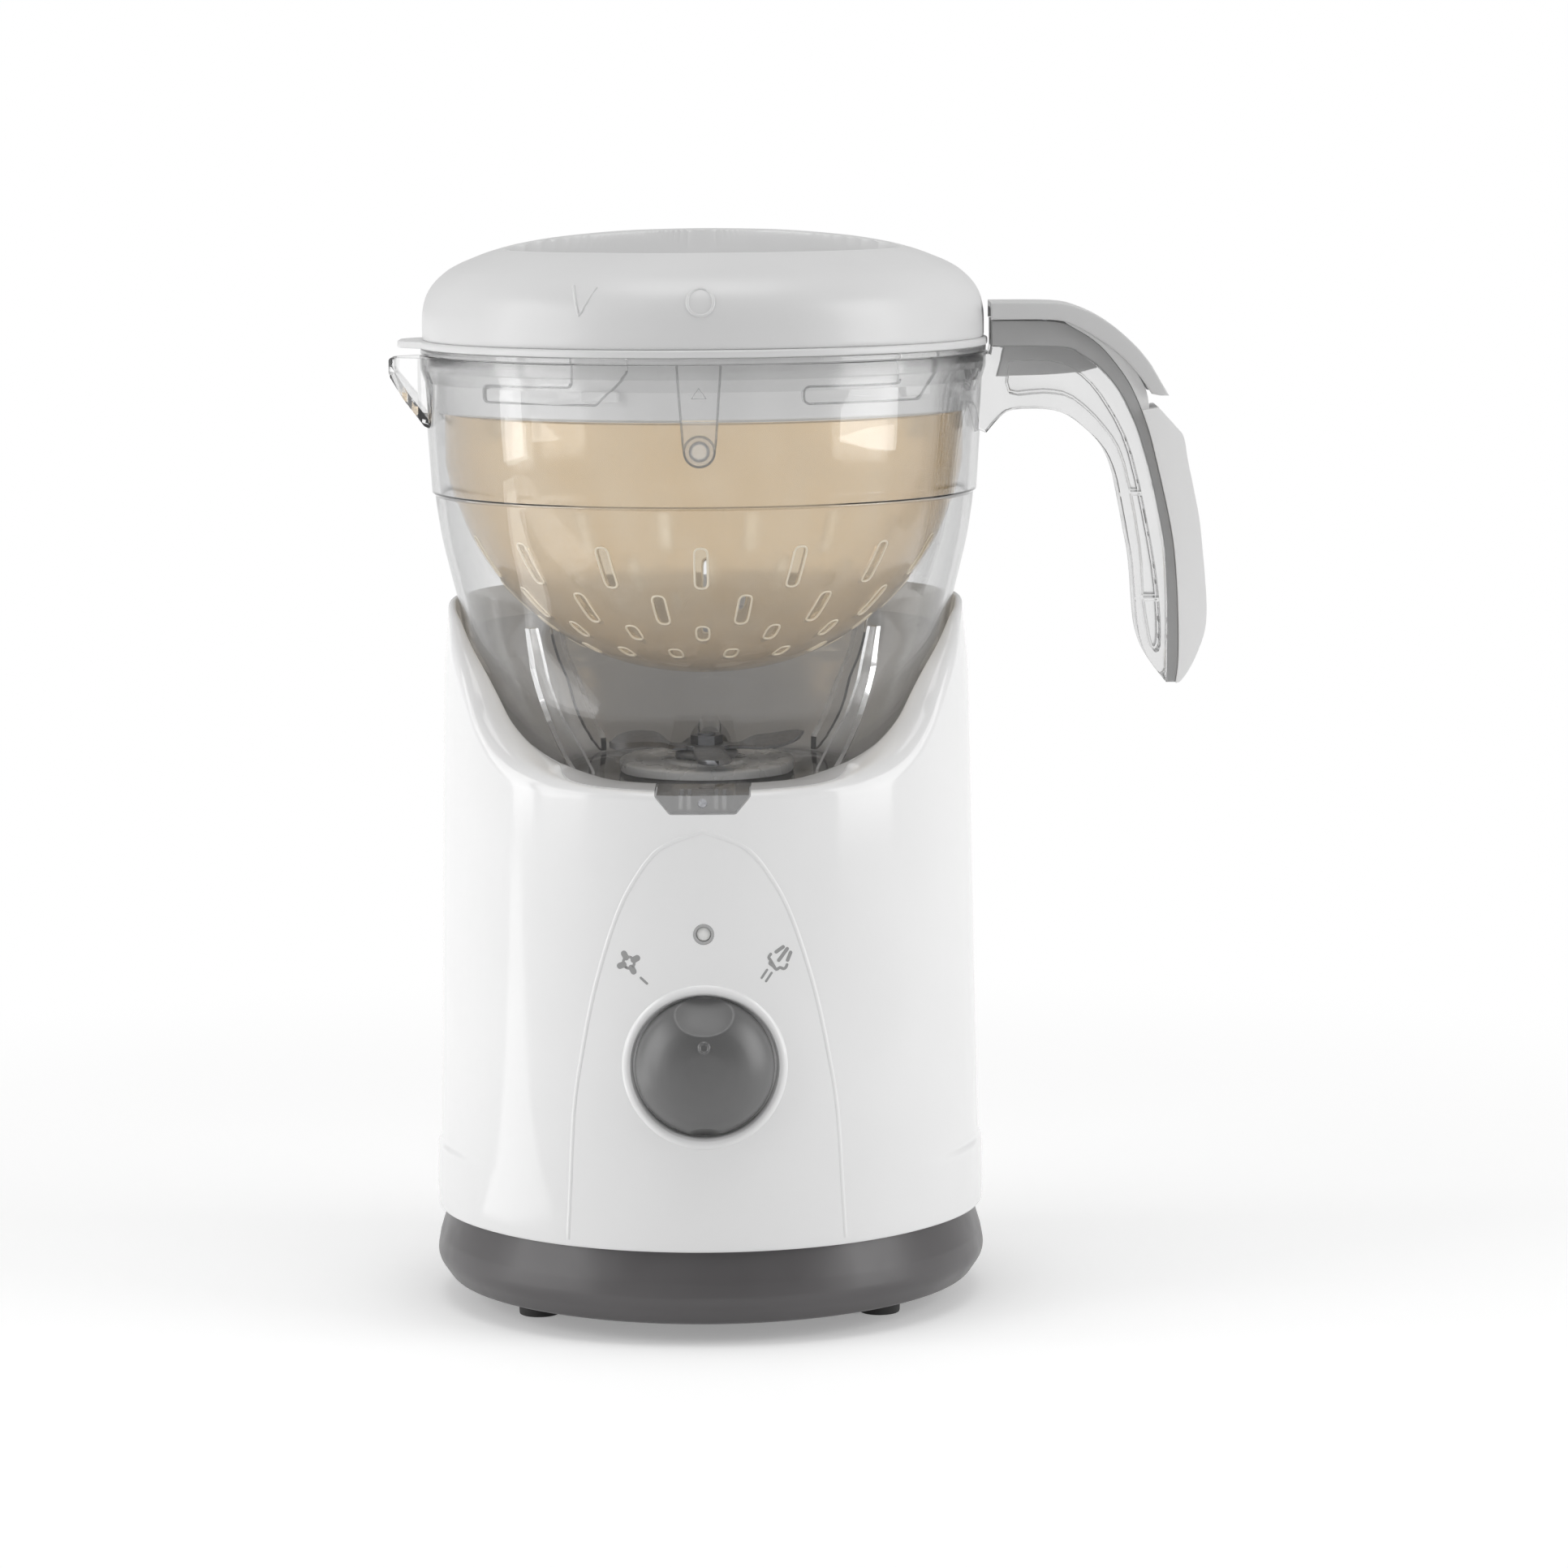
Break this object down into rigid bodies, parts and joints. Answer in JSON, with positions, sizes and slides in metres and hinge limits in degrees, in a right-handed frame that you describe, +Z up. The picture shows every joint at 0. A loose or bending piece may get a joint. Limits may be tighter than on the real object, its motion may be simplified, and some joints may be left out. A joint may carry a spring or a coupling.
{
  "type": "baby food maker",
  "caption": "Countertop baby food maker: a steaming basket in a clear blending jug with a side handle and twist-lock lid, on a motor and boiler base with a front knob.",
  "frame": {"origin": "on the machine's axis, in the plane of the feet", "axes": "+Z up along the machine's axis, -Y to the front with the knob, +X to the handle"},
  "size_m": [0.2303, 0.1664, 0.304],
  "materials": {
    "casing_white": "glossy moulded ABS",
    "lid_white": "satin moulded polypropylene",
    "base_grey": "satin moulded ABS",
    "knob_grey": "satin moulded ABS",
    "seat_grey": "semi-gloss moulded polypropylene",
    "band_grey": "satin moulded ABS",
    "grip_grey": "satin moulded ABS",
    "clear_plastic": "clear moulded copolyester",
    "amber_plastic": "clear moulded copolyester with a warm tint",
    "milky_plastic": "natural translucent polypropylene",
    "rubber_black": "moulded rubber",
    "silicone": "translucent silicone rubber",
    "steel": "stainless and bright steel",
    "alloy": "die-cast alloy",
    "brass": "turned brass",
    "copper": "enamelled copper",
    "carbon": "pressed carbon",
    "moulded_black": "black moulded nylon",
    "circuit_board": "glass-epoxy laminate"
  },
  "bodies": {
    "base": {"housing": "casing_white", "base_dish": "base_grey", "rubber_feet": "rubber_black", "screws": "steel", "cradle": "seat_grey", "drive_gasket": "rubber_black", "motor_top_bracket": "alloy", "motor_bottom_bracket": "alloy", "motor_bolts": "steel", "motor_grommets": "rubber_black", "top_bearing": "steel", "bottom_bearing": "steel", "stator_core": "steel", "field_coils": "copper", "brush_holders": "brass", "carbon_brushes": "carbon", "boiler_tank": "alloy", "boiler_cover": "alloy", "heating_element": "steel", "thermostat": "moulded_black", "steam_pipe": "silicone", "steam_seal": "silicone", "rotary_switch": "moulded_black", "control_board": "circuit_board", "board_parts": "moulded_black", "jug_sensor": "moulded_black", "lamp_pipe": "clear_plastic", "lamp_ring": "grip_grey", "cord_gland": "rubber_black"},
    "rotor": {"motor_shaft": "steel", "rotor_core": "steel", "commutator": "copper", "cooling_fan": "moulded_black", "drive_coupling": "moulded_black"},
    "knob": {"knob": "knob_grey", "knob_shaft": "steel"},
    "jug": {"jug": "clear_plastic", "handle_band": "band_grey", "handle_grip": "grip_grey", "lever_pin": "steel", "lever_spring": "steel", "blade_base": "milky_plastic", "jug_seal": "rubber_black", "lock_ring": "seat_grey", "blade_bush": "brass", "shaft_seal": "rubber_black", "tab_magnet": "steel", "steam_valve": "silicone"},
    "blade": {"blades": "steel", "blade_shaft": "steel", "blade_collar": "moulded_black", "blade_nut": "steel", "jug_coupling": "moulded_black"},
    "basket": {"basket": "amber_plastic", "basket_collar": "clear_plastic", "basket_studs": "clear_plastic"},
    "lid_seal": {"lid_gasket": "silicone"},
    "lid": {"lid_dome": "lid_white", "lid_skirt": "lid_white"},
    "lever": {"release_lever": "grip_grey"}
  },
  "joints": [
    {"name": "motor_spin", "type": "hinge", "parent": "base", "child": "rotor", "pos_m": [0, 0, 0.09], "axis": [0, 0, 1], "continuous": true},
    {"name": "knob_turn", "type": "hinge", "parent": "base", "child": "knob", "pos_m": [0, -0.08, 0.078], "axis": [0, 1, 0], "range_deg": [-45, 45]},
    {"name": "jug_lift", "type": "slide", "parent": "base", "child": "jug", "axis": [0, 0, 1], "range_m": [0, 0.08]},
    {"name": "blade_spin", "type": "hinge", "parent": "jug", "child": "blade", "pos_m": [0, 0, 0.15], "axis": [0, 0, 1], "continuous": true},
    {"name": "lever_press", "type": "hinge", "parent": "jug", "child": "lever", "pos_m": [0.096, 0, 0.279], "axis": [0, 1, 0], "range_deg": [0, 3], "stiffness_Nm_per_rad": 0.8, "springref_deg": -5.73, "deforming": ["lever_spring"]},
    {"name": "basket_lift", "type": "slide", "parent": "jug", "child": "basket", "axis": [0, 0, 1], "range_m": [0, 0.1]},
    {"name": "lid_lift", "type": "slide", "parent": "basket", "child": "lid_seal", "axis": [0, 0, 1], "range_m": [0, 0.03]},
    {"name": "lid_turn", "type": "hinge", "parent": "lid_seal", "child": "lid", "pos_m": [0, 0, 0.272], "axis": [0, 0, 1], "range_deg": [-24, 0]}
  ],
  "couplings": [
    {"joint": "blade_spin", "follows": "motor_spin", "ratio": 1}
  ]
}
